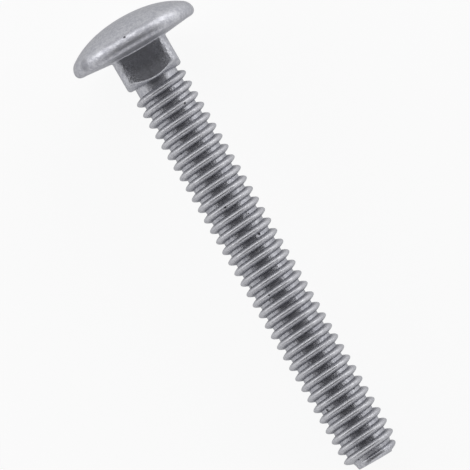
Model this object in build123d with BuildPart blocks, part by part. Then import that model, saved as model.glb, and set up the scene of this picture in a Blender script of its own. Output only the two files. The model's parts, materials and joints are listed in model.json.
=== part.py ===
from build123d import *
import os
from math import asin, atan2, cos, hypot, radians, sin, tan

# Carriage bolt, 1/4 inch by 2 inch with 20 threads to the inch, forged in one piece.
# It lies as it comes to rest on a table, on the rim of its head and on the edge of its point,
# with the head toward -X, the point toward +X and one flat of the square neck upward.
# The origin is on the bolt's own axis, in the plane of the flat ring under the head.
# A name that ends in "at" is a place along that axis, counted from that plane toward the point.

# Length under the head
BOLT_LENGTH = 49.88

# Head: a dome with a rounded rim, a flat ring under the rim and a shallow cone inside the ring
HEAD_DIAMETER = 14.29
HEAD_HEIGHT = 3.49
DOME_EDGE_RADIUS = 1.02
RIM_RADIUS = 0.80
BEARING_RING_WIDTH = 0.70
UNDERSIDE_SLOPE_DEG = 6.9

# Square neck, filleted under the head and turned to a cone where it ends
NECK_WIDTH = 6.34
NECK_CORNER_RADIUS = 0.80
NECK_ROOT_FILLET = 0.20
NECK_LENGTH = 3.855
NECK_SHOULDER_WIDTH = 0.50
NECK_BEVEL_DEG = 36.0

# Plain shank, and the cone on which it rises to the thread
SHANK_DIAMETER = 4.85
PLAIN_SHANK_LENGTH = 0.25
RUN_OUT_DEG = 45.0

# Threaded length, at the diameter of the thread's crests, with a chamfered point
MAJOR_DIAMETER = 6.21
CHAMFER_LENGTH = 0.95
CHAMFER_DEPTH = 1.125

# Places and radii along the shank
shank_radius = SHANK_DIAMETER / 2
crest_radius = MAJOR_DIAMETER / 2
point_radius = crest_radius - CHAMFER_DEPTH
run_out_at = NECK_LENGTH + PLAIN_SHANK_LENGTH
full_thread_at = run_out_at + (crest_radius - shank_radius) / tan(radians(RUN_OUT_DEG))
chamfer_at = BOLT_LENGTH - CHAMFER_LENGTH

# Underside of the head: the cone runs from the flat ring to the shank, inside the neck
head_radius = HEAD_DIAMETER / 2
ring_outer_radius = head_radius - RIM_RADIUS
ring_inner_radius = ring_outer_radius - BEARING_RING_WIDTH
underside_end_at = (ring_inner_radius - shank_radius) * tan(radians(UNDERSIDE_SLOPE_DEG))

# Dome: its arc passes through the crown square to the axis and runs smoothly into the rounded edge
crown_at = -HEAD_HEIGHT
widest_at = -RIM_RADIUS
widest_below_crown = HEAD_HEIGHT - RIM_RADIUS
edge_centre_radius = head_radius - DOME_EDGE_RADIUS
dome_radius = edge_centre_radius**2 + widest_below_crown**2 - DOME_EDGE_RADIUS**2
dome_radius /= 2 * (widest_below_crown - DOME_EDGE_RADIUS)
dome_angle = atan2(edge_centre_radius, dome_radius - widest_below_crown)
dome_end_at = crown_at + dome_radius * (1 - cos(dome_angle))
dome_end_radius = dome_radius * sin(dome_angle)

# Neck's end: the cone meets the shoulder inside the flats and takes the corners further up
shoulder_radius = shank_radius + NECK_SHOULDER_WIDTH
bevel_radius = NECK_WIDTH
bevel_at = NECK_LENGTH - (bevel_radius - shoulder_radius) * tan(radians(NECK_BEVEL_DEG))

# Resting tilt: the table is tangent to the rim's rounding and touches the thread where its chamfer starts
rest_reach = chamfer_at - widest_at
rest_drop = ring_outer_radius - crest_radius
tilt = atan2(rest_drop, rest_reach) + asin(RIM_RADIUS / hypot(rest_reach, rest_drop))
toward_point = Vector(cos(tilt), 0, -sin(tilt))
toward_top = Vector(sin(tilt), 0, cos(tilt))
bolt_axis = Axis((0, 0, 0), toward_point)

# Profiles that are turned about the axis lie on one plane, and the neck's cross-section on the other
axial = Plane(origin=(0, 0, 0), x_dir=toward_point, z_dir=(0, -1, 0))
across = Plane(origin=(0, 0, 0), x_dir=toward_top, z_dir=toward_point)

with BuildPart() as neck:
    with BuildSketch(across):
        RectangleRounded(NECK_WIDTH, NECK_WIDTH, NECK_CORNER_RADIUS)
    extrude(amount=NECK_LENGTH)
    with BuildSketch(axial):
        with BuildLine():
            Polyline(
                (0, 0),
                (0, bevel_radius),
                (bevel_at, bevel_radius),
                (NECK_LENGTH, shoulder_radius),
                (NECK_LENGTH, 0),
                close=True,
            )
        make_face()
    revolve(axis=bolt_axis, mode=Mode.INTERSECT)

with BuildPart() as head:
    with BuildSketch(axial):
        with BuildLine():
            dome = TangentArc((crown_at, 0), (dome_end_at, dome_end_radius), tangent=(0, 1))
            dome_edge = TangentArc(dome @ 1, (widest_at, head_radius), tangent=dome % 1)
            rim = TangentArc(dome_edge @ 1, (0, ring_outer_radius), tangent=dome_edge % 1)
            Polyline(
                rim @ 1,
                (0, ring_inner_radius),
                (underside_end_at, shank_radius),
                (underside_end_at, 0),
                dome @ 0,
            )
        make_face()
    revolve(axis=bolt_axis)

with BuildPart() as carriage_bolt:
    with BuildSketch(axial):
        with BuildLine():
            Polyline(
                (0, 0),
                (0, shank_radius),
                (run_out_at, shank_radius),
                (full_thread_at, crest_radius),
                (chamfer_at, crest_radius),
                (BOLT_LENGTH, point_radius),
                (BOLT_LENGTH, 0),
                close=True,
            )
        make_face()
    revolve(axis=bolt_axis)
    add(neck.part)
    add(head.part)

    # The neck's root is where its flats and corners meet the underside's cone
    underside = carriage_bolt.faces().filter_by(GeomType.CONE).sort_by(bolt_axis)[0]
    turned = (GeomType.LINE, GeomType.CIRCLE)
    fillet(
        underside.edges().filter_by(lambda edge: edge.geom_type not in turned),
        radius=NECK_ROOT_FILLET,
    )

carriage_bolt.part.label = "carriage_bolt"
os.makedirs("parts", exist_ok=True)
export_step(carriage_bolt.part, "parts/carriage_bolt.step")
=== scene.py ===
"""A hot-dip galvanised carriage bolt, lying on a pale studio floor.

The bolt is modelled upright about its own axis, crown down and point up, and is then laid in its
resting place. Lengths are in metres. A name that ends in "at" is a place along the bolt's axis,
counted from the flat ring under the head and positive toward the point.
"""

import json
import logging
import math
from dataclasses import dataclass, field
from enum import Enum

import bpy
from mathutils import Matrix, Vector

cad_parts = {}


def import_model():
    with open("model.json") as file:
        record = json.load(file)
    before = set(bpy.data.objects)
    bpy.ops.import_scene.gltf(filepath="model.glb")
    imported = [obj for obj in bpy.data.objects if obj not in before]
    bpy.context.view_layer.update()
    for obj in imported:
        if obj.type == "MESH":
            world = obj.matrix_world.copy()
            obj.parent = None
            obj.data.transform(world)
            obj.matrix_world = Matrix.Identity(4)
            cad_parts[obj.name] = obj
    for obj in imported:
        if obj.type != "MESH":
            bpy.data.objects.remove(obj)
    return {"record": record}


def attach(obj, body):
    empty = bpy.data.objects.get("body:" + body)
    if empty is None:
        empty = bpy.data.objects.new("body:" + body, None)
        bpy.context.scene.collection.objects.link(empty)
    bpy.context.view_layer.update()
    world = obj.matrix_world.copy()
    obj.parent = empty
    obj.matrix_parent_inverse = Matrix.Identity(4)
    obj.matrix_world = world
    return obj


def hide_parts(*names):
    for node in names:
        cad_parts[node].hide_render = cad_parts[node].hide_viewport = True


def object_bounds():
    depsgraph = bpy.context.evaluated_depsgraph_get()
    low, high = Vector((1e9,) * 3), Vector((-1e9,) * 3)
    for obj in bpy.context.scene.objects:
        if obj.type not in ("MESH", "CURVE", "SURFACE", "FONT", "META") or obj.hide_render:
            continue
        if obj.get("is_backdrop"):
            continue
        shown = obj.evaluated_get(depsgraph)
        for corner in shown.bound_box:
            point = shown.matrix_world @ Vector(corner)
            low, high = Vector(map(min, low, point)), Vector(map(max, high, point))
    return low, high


LOG = logging.getLogger("carriage_bolt")
MM = 0.001
NODE = "carriage_bolt"
RING_MOUNT = "bearing_ring"

# Points of an outline, each a radius and a place along the axis
Outline = list[tuple[float, float]]
# Red, green, blue and opacity
Colour = tuple[float, float, float, float]
# Where a smooth rise from 0 to 1 starts and where it ends
Rise = tuple[float, float]
Socket = bpy.types.NodeSocket
Input = Socket | float


class Combine(Enum):
    """How a material combines two numbers."""

    SUM = "ADD"
    DIFFERENCE = "SUBTRACT"
    PRODUCT = "MULTIPLY"
    LARGER = "MAXIMUM"


class Measure(Enum):
    """What a material works out from one or two vectors."""

    OFFSET = "SUBTRACT"
    ALONG = "DOT_PRODUCT"
    ACROSS = "CROSS_PRODUCT"
    APART = "DISTANCE"
    SIZE = "LENGTH"


def shares(steps: int) -> list[float]:
    """Equal steps that end at 1, the first of them above 0."""
    return [step / steps for step in range(1, steps + 1)]


def held(share: float) -> float:
    """A share kept between 0 and 1."""
    return min(max(share, 0.0), 1.0)


def select_only(piece: bpy.types.Object) -> None:
    """Deselect everything, then select one object and make it active.

    Args:
        piece: the object that the next operators act on.
    """
    bpy.ops.object.select_all(action="DESELECT")
    piece.select_set(True)
    bpy.context.view_layer.objects.active = piece


@dataclass(frozen=True)
class RestingPlace:
    """Where the bolt lies: the turn and shift from its own upright axis to the floor.

    Attributes:
        ring_centre: centre of the flat ring under the head.
        toward_point: direction from head to point.
    """

    ring_centre: Vector
    toward_point: Vector

    @classmethod
    def from_record(cls, record: dict) -> "RestingPlace":
        """Read the place from the mount of the ring under the head.

        Args:
            record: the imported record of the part.

        Returns:
            The bolt's resting place.
        """
        mount = next(m for m in record["mounts"] if m["name"] == RING_MOUNT)
        return cls(Vector(mount["pos_m"]), Vector(mount["axis"]).normalized())

    @property
    def toward_top(self) -> Vector:
        """Direction square to the axis that points most nearly up."""
        across = self.toward_point.cross(Vector((0, 0, 1)))
        return across.cross(self.toward_point).normalized()

    @property
    def matrix(self) -> Matrix:
        """The move from upright to the resting place: Z to the point, X to the top.

        Returns:
            The turn and shift.
        """
        x_axis, z_axis = self.toward_top, self.toward_point
        turn = Matrix((x_axis, z_axis.cross(x_axis), z_axis)).transposed().to_4x4()
        return Matrix.Translation(self.ring_centre) @ turn

    def at(self, along: float, sideways: float = 0.0, above: float = 0.0) -> Vector:
        """A point given by its place along, beside and above the bolt's axis."""
        side = self.toward_top.cross(self.toward_point)
        return self.ring_centre + self.toward_point * along + side * sideways + self.toward_top * above


@dataclass
class HeadAndNeck:
    """The forged end: a low dome, its rounded rim, a shallow cone under it and the square neck.

    Attributes:
        crown_bow: factor of the squared radius in the dome's curve.
        rim_bow: factor of the radius to the fourth power, which steepens the dome near its edge.
        dome_end: radius at which the dome runs into its rounded edge.
        ring_inner: radius at which the flat ring under the head turns into the shallow cone.
        neck_fillet: radius of the hollow where the neck meets the cone.
        shoulder_radius: radius at which the bevel on the neck's end meets the flat shoulder.
        bevel_rounding: radius of the edge between the flats and the bevel.
        shoulder_rounding: how far outside and inside the shoulder its small rounding reaches.
        shoulder_drop: how far the outside of that rounding lies below the neck's end.
        shank_radius: radius of the plain shank, into which the shoulder's face reaches.
        shank_overlap: how far it reaches into the shank.
        sides: number of points round the axis.
        cone_steps: number of rings from the flat ring to the neck's fillet.
        flat_steps: number of rings along the neck's flats.
    """

    head_radius: float = 7.13 * MM
    head_height: float = 3.472 * MM
    crown_bow: float = 0.0298 / MM
    rim_bow: float = 0.00026 / MM**3
    dome_end: float = 6.55 * MM
    ring_inner: float = 6.30 * MM
    underside_slope: float = math.radians(6.0)
    neck_half_width: float = 3.17 * MM
    neck_corner_radius: float = 1.30 * MM
    neck_fillet: float = 0.20 * MM
    neck_length: float = 3.855 * MM
    shoulder_radius: float = 2.925 * MM
    bevel_slope: float = math.radians(36.0)
    bevel_rounding: float = 0.30 * MM
    shoulder_rounding: tuple[float, float] = (0.03 * MM, 0.04 * MM)
    shoulder_drop: float = 0.02 * MM
    shank_radius: float = 2.425 * MM
    shank_overlap: float = 0.2 * MM
    sides: int = 160
    dome_steps: int = 22
    edge_steps: int = 9
    rim_steps: int = 11
    cone_steps: int = 4
    fillet_steps: int = 5
    flat_steps: int = 4
    bevel_steps: int = 4

    def dome_at(self, radius: float) -> float:
        """Place of the dome at a radius: flat at its crown and steeper toward its edge."""
        return self.crown_bow * radius**2 + self.rim_bow * radius**4 - self.head_height

    @property
    def dome_end_slope(self) -> float:
        """Slope of the dome where its rounded edge begins."""
        return math.atan(2 * self.crown_bow * self.dome_end + 4 * self.rim_bow * self.dome_end**3)

    @property
    def edge_radius(self) -> float:
        """Radius of the rounded edge that runs from the dome's end to the widest place."""
        return (self.head_radius - self.dome_end) / (1 - math.sin(self.dome_end_slope))

    @property
    def widest_at(self) -> float:
        """Place where the head is widest."""
        return self.dome_at(self.dome_end) + self.edge_radius * math.cos(self.dome_end_slope)

    def turned_profile(self) -> Outline:
        """The head's outline from beside the crown round the rim to the shallow cone.

        Returns:
            Its points.
        """
        edge_centre = self.head_radius - self.edge_radius
        rim_radius = -self.widest_at
        ring_outer = self.head_radius - rim_radius
        outline = []
        for share in shares(self.dome_steps):
            radius = self.dome_end * share
            outline.append((radius, self.dome_at(radius)))
        for share in shares(self.edge_steps):
            turn = self.dome_end_slope + (math.pi / 2 - self.dome_end_slope) * share
            radius = edge_centre + self.edge_radius * math.sin(turn)
            outline.append((radius, self.widest_at - self.edge_radius * math.cos(turn)))
        for share in shares(self.rim_steps):
            turn = math.pi / 2 * share
            outline.append((ring_outer + rim_radius * math.cos(turn), rim_radius * (math.sin(turn) - 1)))
        outline.append((self.ring_inner, 0.0))
        return outline

    def cone_at(self, radius: float) -> float:
        """Place of the shallow cone under the head at a radius."""
        return (self.ring_inner - radius) * math.tan(self.underside_slope)

    def square_reach(self, angle: float, margin: float = 0.0) -> float:
        """Distance from the axis to the rounded square of the neck.

        Args:
            angle: direction about the axis, counted from the middle of a flat.
            margin: how far outside the neck the outline lies.

        Returns:
            The distance in that direction.
        """
        half, corner = self.neck_half_width + margin, self.neck_corner_radius + margin
        folded = abs((angle + math.pi / 4) % (math.pi / 2) - math.pi / 4)
        inner = half - corner
        if half * math.tan(folded) <= inner:
            return half / math.cos(folded)
        centre = Vector((inner, inner))
        ray = Vector((math.cos(folded), math.sin(folded)))
        along = centre.dot(ray)
        return along + math.sqrt(max(corner**2 - (centre.length_squared - along**2), 0.0))

    def neck_outline(self, angle: float) -> Outline:
        """The neck's outline in one direction about the axis.

        Args:
            angle: the direction, counted from the middle of a flat.

        Returns:
            Points from the shallow cone through the fillet, flat, bevel and shoulder to inside the shank.
        """
        foot = self.square_reach(angle, self.neck_fillet)
        reach = self.square_reach(angle)
        outline = []
        for share in shares(self.cone_steps):
            radius = self.ring_inner + (foot - self.ring_inner) * share
            outline.append((radius, self.cone_at(radius)))
        for share in shares(self.fillet_steps):
            turn = math.pi / 2 * share
            radius = self.square_reach(angle, self.neck_fillet * (1 - math.sin(turn)))
            outline.append((radius, self.cone_at(foot) + self.neck_fillet * (1 - math.cos(turn))))
        edge_at = self.neck_length - (reach - self.shoulder_radius) * math.tan(self.bevel_slope)
        turned = math.pi / 2 - self.bevel_slope
        setback = self.bevel_rounding * math.tan(turned / 2)
        flat_from, flat_to = outline[-1][1], edge_at - setback
        for share in shares(self.flat_steps):
            outline.append((reach, flat_from + (flat_to - flat_from) * share))
        for share in shares(self.bevel_steps):
            drawn_in = self.bevel_rounding * (1 - math.cos(turned * share))
            outline.append((reach - drawn_in, flat_to + self.bevel_rounding * math.sin(turned * share)))
        outside, inside = self.shoulder_rounding
        outline.append((self.shoulder_radius + outside, self.neck_length - self.shoulder_drop))
        outline.append((self.shoulder_radius - inside, self.neck_length))
        outline.append((self.shank_radius - self.shank_overlap, self.neck_length))
        return outline

    def build(self) -> bpy.types.Object:
        """Model the head and neck as one closed shell about the upright axis.

        Returns:
            The finished object.
        """
        turned = self.turned_profile()
        angles = [2 * math.pi * side / self.sides for side in range(self.sides)]
        rings = [[point] * self.sides for point in turned]
        rings += [list(ring) for ring in zip(*(self.neck_outline(angle) for angle in angles))]

        bpy.ops.object.select_all(action="DESELECT")
        bpy.ops.mesh.primitive_circle_add(
            vertices=self.sides,
            radius=turned[0][0],
            fill_type="TRIFAN",
            location=(0, 0, -self.head_height),
        )
        piece = bpy.context.active_object
        piece.name = "head_and_neck"
        bpy.ops.object.transform_apply(location=True, rotation=True, scale=True)
        self.lift_rings(piece, rings)
        return piece

    def lift_rings(self, piece: bpy.types.Object, rings: list[Outline]) -> None:
        """Extrude the open rim once for each further ring, shape it, and close the last with a fan.

        Args:
            piece: the crown's disc.
            rings: for each ring, the radius and place of its points in order about the axis.
        """
        select_only(piece)
        bpy.ops.object.mode_set(mode="EDIT")
        bpy.ops.mesh.select_mode(type="EDGE")
        bpy.ops.mesh.select_all(action="DESELECT")
        bpy.ops.mesh.select_non_manifold(extend=False)
        self.shape_ring(piece, rings[0])
        for ring in rings[1:]:
            bpy.ops.mesh.extrude_region_move()
            self.shape_ring(piece, ring)
        bpy.ops.mesh.edge_face_add()
        bpy.ops.mesh.poke()
        bpy.ops.mesh.select_all(action="SELECT")
        bpy.ops.mesh.normals_make_consistent(inside=False)
        bpy.ops.object.mode_set(mode="OBJECT")

    def shape_ring(self, piece: bpy.types.Object, ring: Outline) -> None:
        """Move the selected ring of points to its outline.

        Args:
            piece: the object in edit mode.
            ring: radius and place of each point, in order about the axis.
        """
        bpy.ops.object.mode_set(mode="OBJECT")
        for vertex in piece.data.vertices:
            if vertex.select:
                angle = math.atan2(vertex.co.y, vertex.co.x) % (2 * math.pi)
                side = round(angle * self.sides / (2 * math.pi)) % self.sides
                radius, place = ring[side]
                turn = 2 * math.pi * side / self.sides
                vertex.co = (radius * math.cos(turn), radius * math.sin(turn), place)
        bpy.ops.object.mode_set(mode="EDIT")


@dataclass
class ThreadedShank:
    """The rolled end: a right-hand thread with rounded crests, its run-out and its chamfered point.

    Attributes:
        crest_half_width: from the middle of a crest to where its flank meets the root.
        crest_fullness: power of the crest's curve; the larger it is, the fuller and blunter the crest.
        top_crest_at: place of a crest on the top side of the resting bolt.
        first_crest_at: place at which a crest begins to grow out of the shank under the neck.
        run_out_length: length over which it grows to its full height.
        point_radius: radius at the end of the chamfer.
        root_taper_length: length before the point over which the rolled metal is drawn in.
        root_taper_drop: how far it is drawn in at the point.
        buried_end_at: place of the shank's other end, which lies inside the neck.
        merge_distance: distance within which the winding's neighbouring turns are joined.
        cut_tolerance: distance at which a point counts as lying on the cut at either end.
    """

    pitch: float = 25.4 / 20 * MM
    crest_radius: float = 3.105 * MM
    root_radius: float = 2.434 * MM
    crest_half_width: float = 0.46 * MM
    crest_fullness: float = 2.2
    top_crest_at: float = 5.1055 * MM
    first_crest_at: float = 4.20 * MM
    run_out_length: float = 0.60 * MM
    end_at: float = 49.867 * MM
    chamfer_length: float = 0.95 * MM
    point_radius: float = 1.98 * MM
    root_taper_length: float = 1.40 * MM
    root_taper_drop: float = 0.50 * MM
    buried_end_at: float = 3.0 * MM
    merge_distance: float = 0.002 * MM
    cut_tolerance: float = 0.0001 * MM
    steps_per_turn: int = 72
    crest_steps: int = 9
    root_steps: int = 2

    @property
    def depth(self) -> float:
        """Height of the crests above the roots."""
        return self.crest_radius - self.root_radius

    def half_section(self) -> Outline:
        """The thread's section on one side of a crest.

        Returns:
            Radius and distance from the crest, from its middle to the middle of the root.
        """
        section = [(self.crest_radius, 0.0)]
        for share in shares(self.crest_steps):
            radius = self.crest_radius - self.depth * share**self.crest_fullness
            section.append((radius, self.crest_half_width * share))
        for share in shares(self.root_steps):
            out = self.crest_half_width + (self.pitch / 2 - self.crest_half_width) * share
            section.append((self.root_radius, out))
        return section

    def section(self) -> Outline:
        """One whole pitch of the thread, with places counted from the middle of its crest."""
        half = self.half_section()
        return [(radius, -out) for radius, out in reversed(half[1:])] + half

    def grown(self, angle: float, place: float) -> float:
        """How far the nearest crest stands out, from 0 beyond either end of the thread to 1 between them.

        Args:
            angle: direction about the axis, counted from the top side.
            place: place along the axis.

        Returns:
            The share of its full height.
        """
        offset = (place - self.top_crest_at - self.pitch * angle / (2 * math.pi)) % self.pitch
        if offset > self.pitch / 2:
            offset -= self.pitch
        crest_at = place - offset
        start = held((crest_at - self.first_crest_at) / self.run_out_length)
        chamfer_slope = (self.crest_radius - self.point_radius) / self.chamfer_length
        chamfered = self.point_radius + (self.end_at - crest_at) * chamfer_slope
        end = held((chamfered - self.root_radius + self.taper(crest_at)) / self.depth)
        return start * start * (3 - 2 * start) * end

    def taper(self, place: float) -> float:
        """How far the rolled metal is drawn in at a place near the point."""
        share = (place - (self.end_at - self.root_taper_length)) / self.root_taper_length
        return self.root_taper_drop * max(share, 0.0)

    def build(self) -> bpy.types.Object:
        """Model the threaded shank as one closed shell about the upright axis.

        Returns:
            The finished object.
        """
        bpy.ops.object.select_all(action="DESELECT")
        bpy.ops.mesh.primitive_plane_add(size=self.pitch)
        piece = bpy.context.active_object
        piece.name = "threaded_shank"
        self.draw_section(piece)
        self.wind(piece)
        self.draw_in_ends(piece)
        return piece

    def winding_start(self) -> float:
        """Place of a crest on the top side, low enough for the winding to start below the buried end."""
        turns_back = math.ceil((self.top_crest_at - self.buried_end_at) / self.pitch) + 1
        return self.top_crest_at - turns_back * self.pitch

    def draw_section(self, piece: bpy.types.Object) -> None:
        """Reduce the plane to one point and extrude it along one pitch of the section.

        Args:
            piece: the plane to start from.
        """
        section = self.section()
        select_only(piece)
        bpy.ops.object.mode_set(mode="EDIT")
        bpy.ops.mesh.select_mode(type="VERT")
        bpy.ops.mesh.select_all(action="SELECT")
        bpy.ops.mesh.merge(type="CENTER")
        radius, out = section[0]
        bpy.ops.transform.translate(value=(radius, 0, self.winding_start() + out))
        for (radius, out), (next_radius, next_out) in zip(section, section[1:]):
            bpy.ops.mesh.extrude_vertices_move(
                TRANSFORM_OT_translate={"value": (next_radius - radius, 0, next_out - out)}
            )
        bpy.ops.object.mode_set(mode="OBJECT")

    def wind(self, piece: bpy.types.Object) -> None:
        """Wind the section along the thread and cut both ends square.

        Args:
            piece: the section.
        """
        select_only(piece)
        screw = piece.modifiers.new("winding", "SCREW")
        screw.axis = "Z"
        screw.angle = 2 * math.pi
        screw.screw_offset = self.pitch
        screw.iterations = math.ceil((self.end_at - self.winding_start()) / self.pitch) + 1
        screw.steps = screw.render_steps = self.steps_per_turn
        screw.use_merge_vertices = False
        bpy.ops.object.modifier_apply(modifier=screw.name)
        bpy.ops.object.mode_set(mode="EDIT")
        bpy.ops.mesh.select_mode(type="VERT")
        bpy.ops.mesh.select_all(action="SELECT")
        bpy.ops.mesh.remove_doubles(threshold=self.merge_distance)
        for place, outward in ((self.buried_end_at, -1), (self.end_at, 1)):
            bpy.ops.mesh.select_all(action="SELECT")
            bpy.ops.mesh.bisect(
                plane_co=(0, 0, place),
                plane_no=(0, 0, outward),
                use_fill=True,
                clear_outer=True,
                threshold=self.cut_tolerance,
            )
        bpy.ops.mesh.select_all(action="SELECT")
        bpy.ops.mesh.normals_make_consistent(inside=False)
        bpy.ops.object.mode_set(mode="OBJECT")

    def draw_in_ends(self, piece: bpy.types.Object) -> None:
        """Draw the metal in along the run-out, where it tapers, and at the chamfer.

        Args:
            piece: the wound thread.
        """
        for vertex in piece.data.vertices:
            radius = math.hypot(vertex.co.x, vertex.co.y)
            if radius > 0:
                angle = math.atan2(vertex.co.y, vertex.co.x)
                rise = (radius - self.root_radius) * self.grown(angle, vertex.co.z)
                drawn = self.root_radius + rise - self.taper(vertex.co.z)
                vertex.co.x *= drawn / radius
                vertex.co.y *= drawn / radius


@dataclass(frozen=True)
class Spot:
    """A small round place on the upper side of the resting bolt.

    Attributes:
        along: its place along the axis.
        sideways: how far it lies beside the axis.
        reach: its distance from the axis.
        radius: its own radius.
    """

    along: float
    sideways: float
    reach: float
    radius: float

    def centre(self, place: RestingPlace) -> Vector:
        """The middle of the spot on the resting bolt."""
        return place.at(self.along, self.sideways, math.sqrt(self.reach**2 - self.sideways**2))


@dataclass(frozen=True)
class Layer:
    """One layer of the zinc's mottling.

    Attributes:
        per_mm: how many lumps it has to the millimetre.
        detail: how finely its lumps are broken up.
        tone: its weight in the zinc's tone.
        relief: its weight in the zinc's relief.
    """

    per_mm: float
    detail: float
    tone: float
    relief: float


class NodeTree:
    """A material's node tree, with short calls for the nodes that the finishes are made of."""

    # A mix node has sockets for every kind of value, and these are the places of its colours
    MIX_COLOURS = (6, 7)
    MIXED_COLOUR = 2
    # The share of a spot's radius within which it is at its full strength
    SPOT_CORE = 0.35

    def __init__(self, name: str) -> None:
        """Start an empty material.

        Args:
            name: the material's name.
        """
        self.material = bpy.data.materials.new(name)
        self.material.use_nodes = True
        self.nodes = self.material.node_tree.nodes
        self.links = self.material.node_tree.links
        self.nodes.clear()

    def add(self, kind: str, **settings: object) -> bpy.types.Node:
        """Add a node and set its properties.

        Args:
            kind: the node's type name.
            settings: properties to set on it.

        Returns:
            The new node.
        """
        node = self.nodes.new(kind)
        for name, value in settings.items():
            setattr(node, name, value)
        return node

    def feed(self, target: Socket, source: Input | Colour | Vector) -> None:
        """Give an input its value.

        Args:
            target: the input.
            source: the socket to link it to, or a constant.
        """
        if isinstance(source, Socket):
            self.links.new(source, target)
        else:
            target.default_value = source

    def finish(self, surface: Socket) -> bpy.types.Material:
        """Show a shader as the material's surface.

        Args:
            surface: the shader's output.

        Returns:
            The finished material.
        """
        output = self.add("ShaderNodeOutputMaterial")
        self.feed(output.inputs["Surface"], surface)
        return self.material

    def math(self, how: Combine, first: Input, second: Input) -> Socket:
        """Combine two numbers.

        Args:
            how: whether they are added, subtracted, multiplied or compared.
            first: the first number.
            second: the second number.

        Returns:
            The result.
        """
        node = self.add("ShaderNodeMath", operation=how.value)
        self.feed(node.inputs[0], first)
        self.feed(node.inputs[1], second)
        return node.outputs[0]

    def rest_of(self, share: Input) -> Socket:
        """What a share leaves of 1."""
        return self.math(Combine.DIFFERENCE, 1.0, share)

    def weigh(self, parts: list[tuple[float, Input]], base: float = 0.0) -> Socket:
        """Add up numbers, each times its weight.

        Args:
            parts: for each number its weight and the number itself.
            base: what the sum starts from.

        Returns:
            The weighted sum.
        """
        total: Input = base
        for weight, number in parts:
            total = self.math(Combine.SUM, total, self.math(Combine.PRODUCT, number, weight))
        return total

    def step(self, value: Input, rise: Rise) -> Socket:
        """Rise smoothly from 0 to 1 while a value passes from one limit to the other.

        Args:
            value: the value.
            rise: the value's limits; the first is the larger where the value falls.

        Returns:
            A share from 0 to 1.
        """
        node = self.add("ShaderNodeMapRange", interpolation_type="SMOOTHSTEP")
        self.feed(node.inputs["Value"], value)
        node.inputs["From Min"].default_value, node.inputs["From Max"].default_value = rise
        return node.outputs["Result"]

    def noise(self, vector: Socket, layer: Layer) -> Socket:
        """Lay out one layer of soft noise.

        Args:
            vector: the point on the surface.
            layer: the size and detail of its lumps.

        Returns:
            A number from 0 to 1, about 0.5.
        """
        node = self.add("ShaderNodeTexNoise")
        self.feed(node.inputs["Vector"], vector)
        node.inputs["Scale"].default_value = layer.per_mm / MM
        node.inputs["Detail"].default_value = layer.detail
        return node.outputs["Fac"]

    def mix(self, share: Input, first: Socket | Colour, second: Socket | Colour) -> Socket:
        """Mix two colours.

        Args:
            share: how much of the second colour shows.
            first: the first colour.
            second: the second colour.

        Returns:
            The mixed colour.
        """
        node = self.add("ShaderNodeMix", data_type="RGBA")
        self.feed(node.inputs["Factor"], share)
        for index, colour in zip(self.MIX_COLOURS, (first, second)):
            self.feed(node.inputs[index], colour)
        return node.outputs[self.MIXED_COLOUR]

    def measure(self, what: Measure, first: Socket, second: Vector | None = None) -> bpy.types.Node:
        """Measure one vector, or one against another.

        Args:
            what: what is worked out.
            first: the first vector.
            second: the second vector, where there is one.

        Returns:
            The node, whose output is "Vector" or "Value".
        """
        node = self.add("ShaderNodeVectorMath", operation=what.value)
        self.feed(node.inputs[0], first)
        if second is not None:
            self.feed(node.inputs[1], second)
        return node

    def axial(self, vector: Socket, place: RestingPlace) -> tuple[Socket, Socket]:
        """Find how far along the bolt's axis a point lies, and how far from it.

        Args:
            vector: the point.
            place: the bolt's resting place.

        Returns:
            The place along the axis and the distance from it.
        """
        offset = self.measure(Measure.OFFSET, vector, place.ring_centre).outputs["Vector"]
        along = self.measure(Measure.ALONG, offset, place.toward_point)
        across = self.measure(Measure.ACROSS, offset, place.toward_point).outputs["Vector"]
        return along.outputs["Value"], self.measure(Measure.SIZE, across).outputs["Value"]

    def placed(self, vector: Socket, spots: tuple[Spot, ...], place: RestingPlace) -> Socket:
        """Find the soft spots that are placed on the bolt.

        Args:
            vector: the point on the surface.
            spots: the spots.
            place: the bolt's resting place.

        Returns:
            1 in the middle of a spot and 0 beyond its radius.
        """
        found: Input = 0.0
        for spot in spots:
            apart = self.measure(Measure.APART, vector, spot.centre(place)).outputs["Value"]
            inside = self.step(apart, (spot.radius, self.SPOT_CORE * spot.radius))
            found = self.math(Combine.LARGER, found, inside)
        return found


@dataclass(frozen=True)
class Skin:
    """What the zinc is like at a point of the bolt, each a number from 0 to 1.

    Attributes:
        crest: it is on a crest of the thread.
        root: it is in a root of the thread.
        point: it is on the chamfered point.
        corner: it is on a corner of the neck.
        rim: it is on the rim or the underside of the head.
        clean: it is pale and smooth instead of dull and rough.
        stained: it lies in a dull stain.
        pitted: it lies in a dark pit.
    """

    crest: Socket
    root: Socket
    point: Socket
    corner: Socket
    rim: Socket
    clean: Socket
    stained: Socket
    pitted: Socket


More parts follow.
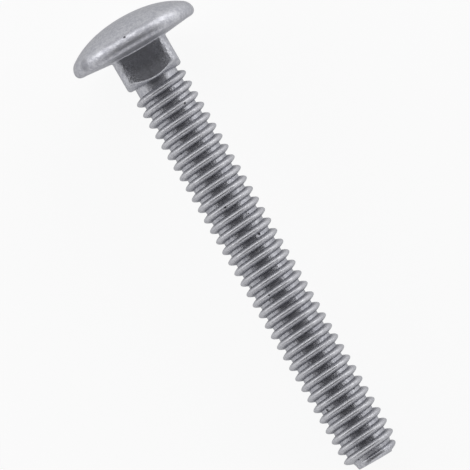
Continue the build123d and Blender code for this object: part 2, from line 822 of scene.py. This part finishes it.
@dataclass(frozen=True)
class HotDipZinc:
    """Weathered hot-dip zinc: satin grey metal, mottled and finely grained, with a few dark pits.

    Attributes:
        edge_tint: tint of the light that it reflects at a glancing angle.
        pale_crest: colour toward which the crests go, by pale_crest_share.
        stain_and_root_shade: colour of the stains, and of the painted shade toward which the roots go by
            painted_root_shade_share.
        dark: colour inside a pit.
        smoothest: roughness where the zinc is clean.
        roughest: roughness where it is dull.
        bump_depth: depth of the relief where nothing coarsens it.
        pit_depth: depth of a pit on the same scale as the layers' weights in the relief.
        root_coarsening: how many times its depth the relief gains in the roots.
        rim_coarsening: the same on the rim; the next two hold for corners and crests.
        point_calming: share of the roots' gain that is lost on the chamfered point.
        clean_rise: tones between which the zinc goes from dull to clean.
        crest_rise: distances from the axis between which a root becomes a crest.
        corner_rise: distances from the axis between which a flat of the neck becomes a corner.
        rim_rise: places between which the dome becomes the rim.
        neck_rise: places between which the underside becomes the neck.
        thread_rise: places between which the neck becomes the thread.
        point_rise: places between which the thread becomes the chamfered point.
        strewn_per_mm: cells to the millimetre, a few of which have a strewn pit.
        strewn_choice: the cells' random numbers between which a cell gets its pit.
        strewn_size: distances from a cell's middle, in cells, between which its pit begins.
    """

    pale: Colour = (0.555, 0.56, 0.59, 1.0)
    dull: Colour = (0.44, 0.445, 0.485, 1.0)
    edge_tint: Colour = (0.56, 0.56, 0.56, 1.0)
    pale_crest: Colour = (0.57, 0.57, 0.59, 1.0)
    pale_crest_share: float = 0.5
    # This dark colour is the stains' own, and also painted shade in the thread's roots.
    stain_and_root_shade: Colour = (0.16, 0.16, 0.18, 1.0)
    painted_root_shade_share: float = 0.08
    dark: Colour = (0.05, 0.05, 0.055, 1.0)
    metallic: float = 0.95
    smoothest: float = 0.34
    roughest: float = 0.52
    rim_roughening: float = 0.10
    crest_roughening: float = 0.08
    cloud: Layer = Layer(0.9, 4.0, tone=0.25, relief=1.8)
    mottle: Layer = Layer(2.6, 3.0, tone=0.40, relief=0.7)
    grain: Layer = Layer(6.0, 2.0, tone=0.35, relief=0.4)
    bump_depth: float = 0.012 * MM
    pit_depth: float = 1.5
    root_coarsening: float = 4.0
    rim_coarsening: float = 1.8
    corner_coarsening: float = 7.2
    crest_coarsening: float = 1.2
    point_calming: float = 0.7
    clean_rise: Rise = (0.38, 0.62)
    crest_rise: Rise = (2.554 * MM, 3.005 * MM)
    corner_rise: Rise = (3.28 * MM, 3.6 * MM)
    rim_rise: Rise = (-1.2 * MM, -0.8 * MM)
    neck_rise: Rise = (0.2 * MM, 0.6 * MM)
    thread_rise: Rise = (4.0 * MM, 5.0 * MM)
    point_rise: Rise = (48.3 * MM, 48.9 * MM)
    strewn_per_mm: float = 0.9
    strewn_choice: Rise = (0.86, 0.88)
    strewn_size: Rise = (0.14, 0.07)
    stains: tuple[Spot, ...] = (Spot(-1.0 * MM, -5.81 * MM, 7.12 * MM, 1.0 * MM),)
    pits: tuple[Spot, ...] = (
        Spot(-1.43 * MM, -0.67 * MM, 6.93 * MM, 0.22 * MM),
        Spot(7.67 * MM, 1.35 * MM, 3.05 * MM, 0.20 * MM),
        Spot(12.02 * MM, -1.64 * MM, 2.53 * MM, 0.18 * MM),
        Spot(19.18 * MM, -0.43 * MM, 3.09 * MM, 0.18 * MM),
        Spot(20.92 * MM, 1.33 * MM, 2.44 * MM, 0.13 * MM),
        Spot(23.32 * MM, 1.24 * MM, 2.44 * MM, 0.20 * MM),
        Spot(29.36 * MM, -1.04 * MM, 3.10 * MM, 0.14 * MM),
        Spot(42.78 * MM, -1.80 * MM, 2.44 * MM, 0.22 * MM),
    )

    def material(self, name: str, place: RestingPlace) -> bpy.types.Material:
        """Make the finish as a node material.

        Args:
            name: the material's name.
            place: the bolt's resting place, in which its pits lie.

        Returns:
            The material.
        """
        tree = NodeTree(name)
        vector = tree.add("ShaderNodeTexCoord").outputs["Object"]
        lumps = {layer: tree.noise(vector, layer) for layer in (self.cloud, self.mottle, self.grain)}
        skin = self.skin(tree, vector, lumps, place)
        shader = tree.add("ShaderNodeBsdfPrincipled")
        shader.inputs["Metallic"].default_value = self.metallic
        shader.inputs["Specular Tint"].default_value = self.edge_tint
        tree.feed(shader.inputs["Base Color"], self.colour(tree, skin))
        tree.feed(shader.inputs["Roughness"], self.roughness(tree, skin))
        tree.feed(shader.inputs["Normal"], self.relief(tree, lumps, skin))
        return tree.finish(shader.outputs["BSDF"])

    def skin(
        self, tree: NodeTree, vector: Socket, lumps: dict[Layer, Socket], place: RestingPlace
    ) -> Skin:
        """Find what the zinc is like at a point.

        Args:
            tree: the material's nodes.
            vector: the point on the surface.
            lumps: the layers of mottling there.
            place: the bolt's resting place.

        Returns:
            The zone that the point is in, and its state.
        """
        along, reach = tree.axial(vector, place)
        raised = tree.step(reach, self.crest_rise)
        thread = tree.step(along, self.thread_rise)
        neck = tree.math(Combine.DIFFERENCE, tree.step(along, self.neck_rise), thread)
        head = tree.math(Combine.DIFFERENCE, tree.step(along, self.rim_rise), neck)
        root = tree.math(Combine.PRODUCT, thread, tree.rest_of(raised))
        tone = tree.weigh([(layer.tone, lump) for layer, lump in lumps.items()])
        stained = tree.placed(vector, self.stains, place)
        pitted = tree.placed(vector, self.pits, place)
        return Skin(
            crest=tree.math(Combine.PRODUCT, thread, raised),
            root=root,
            point=tree.step(along, self.point_rise),
            corner=tree.math(Combine.PRODUCT, neck, tree.step(reach, self.corner_rise)),
            rim=tree.math(Combine.DIFFERENCE, head, thread),
            clean=tree.step(tone, self.clean_rise),
            stained=tree.math(Combine.PRODUCT, stained, lumps[self.mottle]),
            pitted=tree.math(Combine.LARGER, pitted, self.strewn(tree, vector, root)),
        )

    def strewn(self, tree: NodeTree, vector: Socket, root: Socket) -> Socket:
        """Strew a few small pits in the thread's roots.

        Args:
            tree: the material's nodes.
            vector: the point on the surface.
            root: 1 in a root and 0 elsewhere.

        Returns:
            1 in a pit and 0 elsewhere.
        """
        cells = tree.add("ShaderNodeTexVoronoi")
        tree.feed(cells.inputs["Vector"], vector)
        cells.inputs["Scale"].default_value = self.strewn_per_mm / MM
        random = tree.add("ShaderNodeSeparateColor")
        tree.feed(random.inputs["Color"], cells.outputs["Color"])
        chosen = tree.math(Combine.PRODUCT, tree.step(random.outputs["Red"], self.strewn_choice), root)
        return tree.math(Combine.PRODUCT, chosen, tree.step(cells.outputs["Distance"], self.strewn_size))

    def colour(self, tree: NodeTree, skin: Skin) -> Socket:
        """Mix the zinc's tones, with painted shade in the thread's roots.

        Args:
            tree: the material's nodes.
            skin: what the zinc is like.

        Returns:
            Its colour.
        """
        # The roots go a little toward the stains' dark colour: painted shade in the hollows of the
        # thread.
        painted_root_shade = tree.math(Combine.PRODUCT, skin.root, self.painted_root_shade_share)
        # The crests go a little toward a paler colour than the rest of the zinc.
        pale_crest = tree.math(Combine.PRODUCT, skin.crest, self.pale_crest_share)
        colour = tree.mix(skin.clean, self.dull, self.pale)
        colour = tree.mix(painted_root_shade, colour, self.stain_and_root_shade)
        colour = tree.mix(pale_crest, colour, self.pale_crest)
        colour = tree.mix(skin.stained, colour, self.stain_and_root_shade)
        return tree.mix(skin.pitted, colour, self.dark)

    def roughness(self, tree: NodeTree, skin: Skin) -> Socket:
        """Roughen the zinc where it is dull, on the rim and on the crests.

        Args:
            tree: the material's nodes.
            skin: what the zinc is like.

        Returns:
            Its roughness.
        """
        parts = [
            (self.roughest - self.smoothest, tree.rest_of(skin.clean)),
            (self.rim_roughening, skin.rim),
            (self.crest_roughening, skin.crest),
        ]
        return tree.weigh(parts, base=self.smoothest)

    def relief(self, tree: NodeTree, lumps: dict[Layer, Socket], skin: Skin) -> Socket:
        """Raise the mottling, deeper where the zinc is coarse, and sink the pits.

        Args:
            tree: the material's nodes.
            lumps: the layers of mottling.
            skin: what the zinc is like.

        Returns:
            The direction in which the surface faces.
        """
        calm = tree.rest_of(tree.math(Combine.PRODUCT, skin.point, self.point_calming))
        coarseness = [
            (self.root_coarsening, tree.math(Combine.PRODUCT, skin.root, calm)),
            (self.rim_coarsening, skin.rim),
            (self.corner_coarsening, skin.corner),
            (self.crest_coarsening, skin.crest),
        ]
        depth = tree.weigh(coarseness, base=1.0)
        # Each layer is about 0.5, so this centres the height, and a change of depth raises no step
        middle = sum(layer.relief for layer in lumps) / 2
        height = tree.weigh([(layer.relief, lump) for layer, lump in lumps.items()], base=-middle)
        height = tree.math(Combine.PRODUCT, height, depth)
        sunk = tree.math(Combine.PRODUCT, skin.pitted, self.pit_depth)
        bump = tree.add("ShaderNodeBump")
        bump.inputs["Distance"].default_value = self.bump_depth
        tree.feed(bump.inputs["Height"], tree.math(Combine.DIFFERENCE, height, sunk))
        return bump.outputs["Normal"]


@dataclass
class CarriageBolt:
    """The whole bolt, forged in one piece.

    Attributes:
        smooth_below: angle between two faces below which the edge between them is shaded smooth.
    """

    place: RestingPlace
    head_and_neck: HeadAndNeck = field(default_factory=HeadAndNeck)
    threaded_shank: ThreadedShank = field(default_factory=ThreadedShank)
    finish: HotDipZinc = field(default_factory=HotDipZinc)
    smooth_below: float = math.radians(40.0)

    def build(self) -> bpy.types.Object:
        """Model both ends, join them and lay the bolt in its place.

        Returns:
            The finished bolt.
        """
        head = self.head_and_neck.build()
        shank = self.threaded_shank.build()
        select_only(head)
        shank.select_set(True)
        bpy.ops.object.join()
        bolt = bpy.context.active_object
        bolt.name = bolt.data.name = "galvanised_bolt"
        bolt.matrix_world = self.place.matrix
        bpy.ops.object.transform_apply(location=True, rotation=True, scale=True)
        bpy.ops.object.shade_smooth_by_angle(angle=self.smooth_below)
        bolt.data.materials.clear()
        bolt.data.materials.append(self.finish.material("hot_dip_zinc", self.place))
        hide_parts(NODE)
        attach(bolt, "root")
        return bolt


@dataclass(frozen=True)
class PaleFloor:
    """A matt pale sheet that shows near white and keeps the bolt's shadow.

    Attributes:
        glow: share of plain white in what the camera and reflections see of it.
    """

    colour: Colour = (0.93, 0.93, 0.93, 1.0)
    roughness: float = 0.9
    glow: float = 0.90

    def material(self, name: str) -> bpy.types.Material:
        """Make the finish as a node material.

        Args:
            name: the material's name.

        Returns:
            The material.
        """
        tree = NodeTree(name)
        shader = tree.add("ShaderNodeBsdfPrincipled")
        shader.inputs["Base Color"].default_value = self.colour
        shader.inputs["Roughness"].default_value = self.roughness
        white = tree.add("ShaderNodeEmission")
        ray = tree.add("ShaderNodeLightPath")
        seen = ray.outputs["Is Camera Ray"]
        for kind in ("Is Glossy Ray", "Is Transmission Ray"):
            seen = tree.math(Combine.LARGER, seen, ray.outputs[kind])
        mix = tree.add("ShaderNodeMixShader")
        tree.feed(mix.inputs["Fac"], tree.math(Combine.PRODUCT, seen, self.glow))
        tree.feed(mix.inputs[1], shader.outputs["BSDF"])
        tree.feed(mix.inputs[2], white.outputs["Emission"])
        return tree.finish(mix.outputs["Shader"])


@dataclass(frozen=True)
class Panel:
    """One soft rectangular light.

    Attributes:
        name: the light's name.
        bearing: direction from the bolt in degrees, counted from +X toward +Y.
        elevation: its middle's height above the horizon in degrees.
        width: its level side.
        height: its other side.
        radiance: brightness of its surface, where a white sheet in full light has 1.
    """

    name: str
    bearing: float
    elevation: float
    width: float
    height: float
    radiance: float

    def energy(self) -> float:
        """Power in watts that gives the panel its brightness."""
        return self.radiance * math.pi * self.width * self.height

    def outward(self) -> Vector:
        """Direction from the bolt to the panel.

        Returns:
            A vector of length 1.
        """
        bearing, elevation = math.radians(self.bearing), math.radians(self.elevation)
        level = math.cos(elevation)
        return Vector((math.cos(bearing) * level, math.sin(bearing) * level, math.sin(elevation)))


@dataclass
class Studio:
    """The pale floor, the soft lights and the camera that looks down square to the bolt's axis.

    Attributes:
        picture_side: side of the photograph in pixels.
        crown_pixel: where the crown's middle lies in it, from its top left corner.
        point_pixel: where the point's middle lies.
        crown_at: place of the crown on the bolt's axis.
        end_at: place of the point.
        lens: focal length in millimetres, long enough to show no perspective.
        sensor: the sensor's width in millimetres.
        panel_distance: distance of each light from the middle of the bolt.
        sky: colour of the dim light from all round.
    """

    place: RestingPlace
    floor_height: float
    floor_side: float = 4.0
    floor_finish: PaleFloor = field(default_factory=PaleFloor)
    picture_side: float = 470.0
    crown_pixel: tuple[float, float] = (120.3, 17.5)
    point_pixel: tuple[float, float] = (376.0, 460.3)
    crown_at: float = -3.49 * MM
    end_at: float = 49.88 * MM
    lens: float = 1000.0
    sensor: float = 36.0
    panel_distance: float = 0.6
    sky: Colour = (0.066, 0.066, 0.071, 1.0)
    panels: tuple[Panel, ...] = (
        Panel("head", 180.0, 40.0, 0.42, 0.50, 1.95),
        Panel("head_left", 228.0, 20.0, 0.40, 0.42, 2.15),
        Panel("head_right", 132.0, 20.0, 0.40, 0.42, 2.05),
        Panel("left", 275.0, 17.0, 0.80, 0.36, 0.80),
        Panel("right", 85.0, 17.0, 0.80, 0.36, 1.45),
        Panel("point", 0.0, 17.0, 0.90, 0.40, 1.05),
    )

    def set_camera(self) -> bpy.types.Object:
        """Place the camera so that crown and point fall on their pixels of the photograph.

        Returns:
            The camera.
        """
        right_px = self.point_pixel[0] - self.crown_pixel[0]
        down_px = self.point_pixel[1] - self.crown_pixel[1]
        length_px = math.hypot(right_px, down_px)
        metres_per_px = (self.end_at - self.crown_at) / length_px
        along, view_back = self.place.toward_point, self.place.toward_top
        side = view_back.cross(along)
        cosine, sine = right_px / length_px, down_px / length_px
        right = along * cosine + side * sine
        up = side * cosine - along * sine
        half = self.picture_side / 2
        centre = self.place.at(self.crown_at)
        centre += right * (half - self.crown_pixel[0]) * metres_per_px
        centre -= up * (half - self.crown_pixel[1]) * metres_per_px
        distance = self.picture_side * metres_per_px * self.lens / self.sensor

        data = bpy.data.cameras.new("camera")
        data.lens = self.lens
        data.sensor_width = self.sensor
        camera = bpy.data.objects.new("camera", data)
        bpy.context.collection.objects.link(camera)
        turn = Matrix((right, up, view_back)).transposed().to_4x4()
        camera.matrix_world = Matrix.Translation(centre + view_back * distance) @ turn
        bpy.context.scene.camera = camera
        return camera

    def lay_floor(self) -> bpy.types.Object:
        """Lay the pale floor under the bolt and mark it as staging.

        Returns:
            The floor.
        """
        bpy.ops.object.select_all(action="DESELECT")
        bpy.ops.mesh.primitive_plane_add(size=self.floor_side, location=(0, 0, self.floor_height))
        floor = bpy.context.active_object
        floor.name = "floor"
        floor.data.materials.append(self.floor_finish.material("pale_floor"))
        floor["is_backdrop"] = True
        return floor

    def hang(self, panel: Panel) -> bpy.types.Object:
        """Hang one soft light so that it faces the middle of the bolt.

        Args:
            panel: the light's size, brightness and direction.

        Returns:
            The light.
        """
        data = bpy.data.lights.new(panel.name, "AREA")
        data.shape = "RECTANGLE"
        data.size, data.size_y = panel.width, panel.height
        data.energy = panel.energy()
        light = bpy.data.objects.new(panel.name, data)
        bpy.context.collection.objects.link(light)
        light.location = self.place.at(self.end_at / 2) + panel.outward() * self.panel_distance
        light.rotation_euler = (-panel.outward()).to_track_quat("-Z", "Y").to_euler()
        return light

    def dim_sky(self) -> None:
        """Light the scene dimly from all round."""
        world = bpy.data.worlds.new("studio")
        world.use_nodes = True
        world.node_tree.nodes["Background"].inputs["Color"].default_value = self.sky
        bpy.context.scene.world = world

    def build(self) -> list[bpy.types.Object]:
        """Set up floor, lights, sky, camera and plain colour.

        Returns:
            The floor, the lights and the camera.
        """
        floor = self.lay_floor()
        lights = [self.hang(panel) for panel in self.panels]
        self.dim_sky()
        camera = self.set_camera()
        bpy.context.scene.view_settings.view_transform = "Standard"
        return [floor, *lights, camera]


def corners(bounds: tuple) -> list[list[float]]:
    """Turn a pair of corners into plain lists of numbers."""
    return [[float(value) for value in corner] for corner in bounds]


def report(piece: bpy.types.Object) -> None:
    """Report one finished piece, with its number of faces if it is a mesh.

    Args:
        piece: the piece.
    """
    if piece.type == "MESH":
        LOG.info("%s: %d faces", piece.name, len(piece.data.polygons))
    else:
        LOG.info("%s: %s", piece.name, piece.type.lower())


def main() -> None:
    """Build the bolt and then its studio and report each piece."""
    logging.basicConfig(level=logging.INFO, format="%(message)s")
    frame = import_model()
    cad_bounds = corners(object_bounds())
    place = RestingPlace.from_record(frame["record"])
    report(CarriageBolt(place).build())
    for piece in Studio(place, floor_height=cad_bounds[0][2]).build():
        report(piece)


if __name__ == "__main__":
    main()
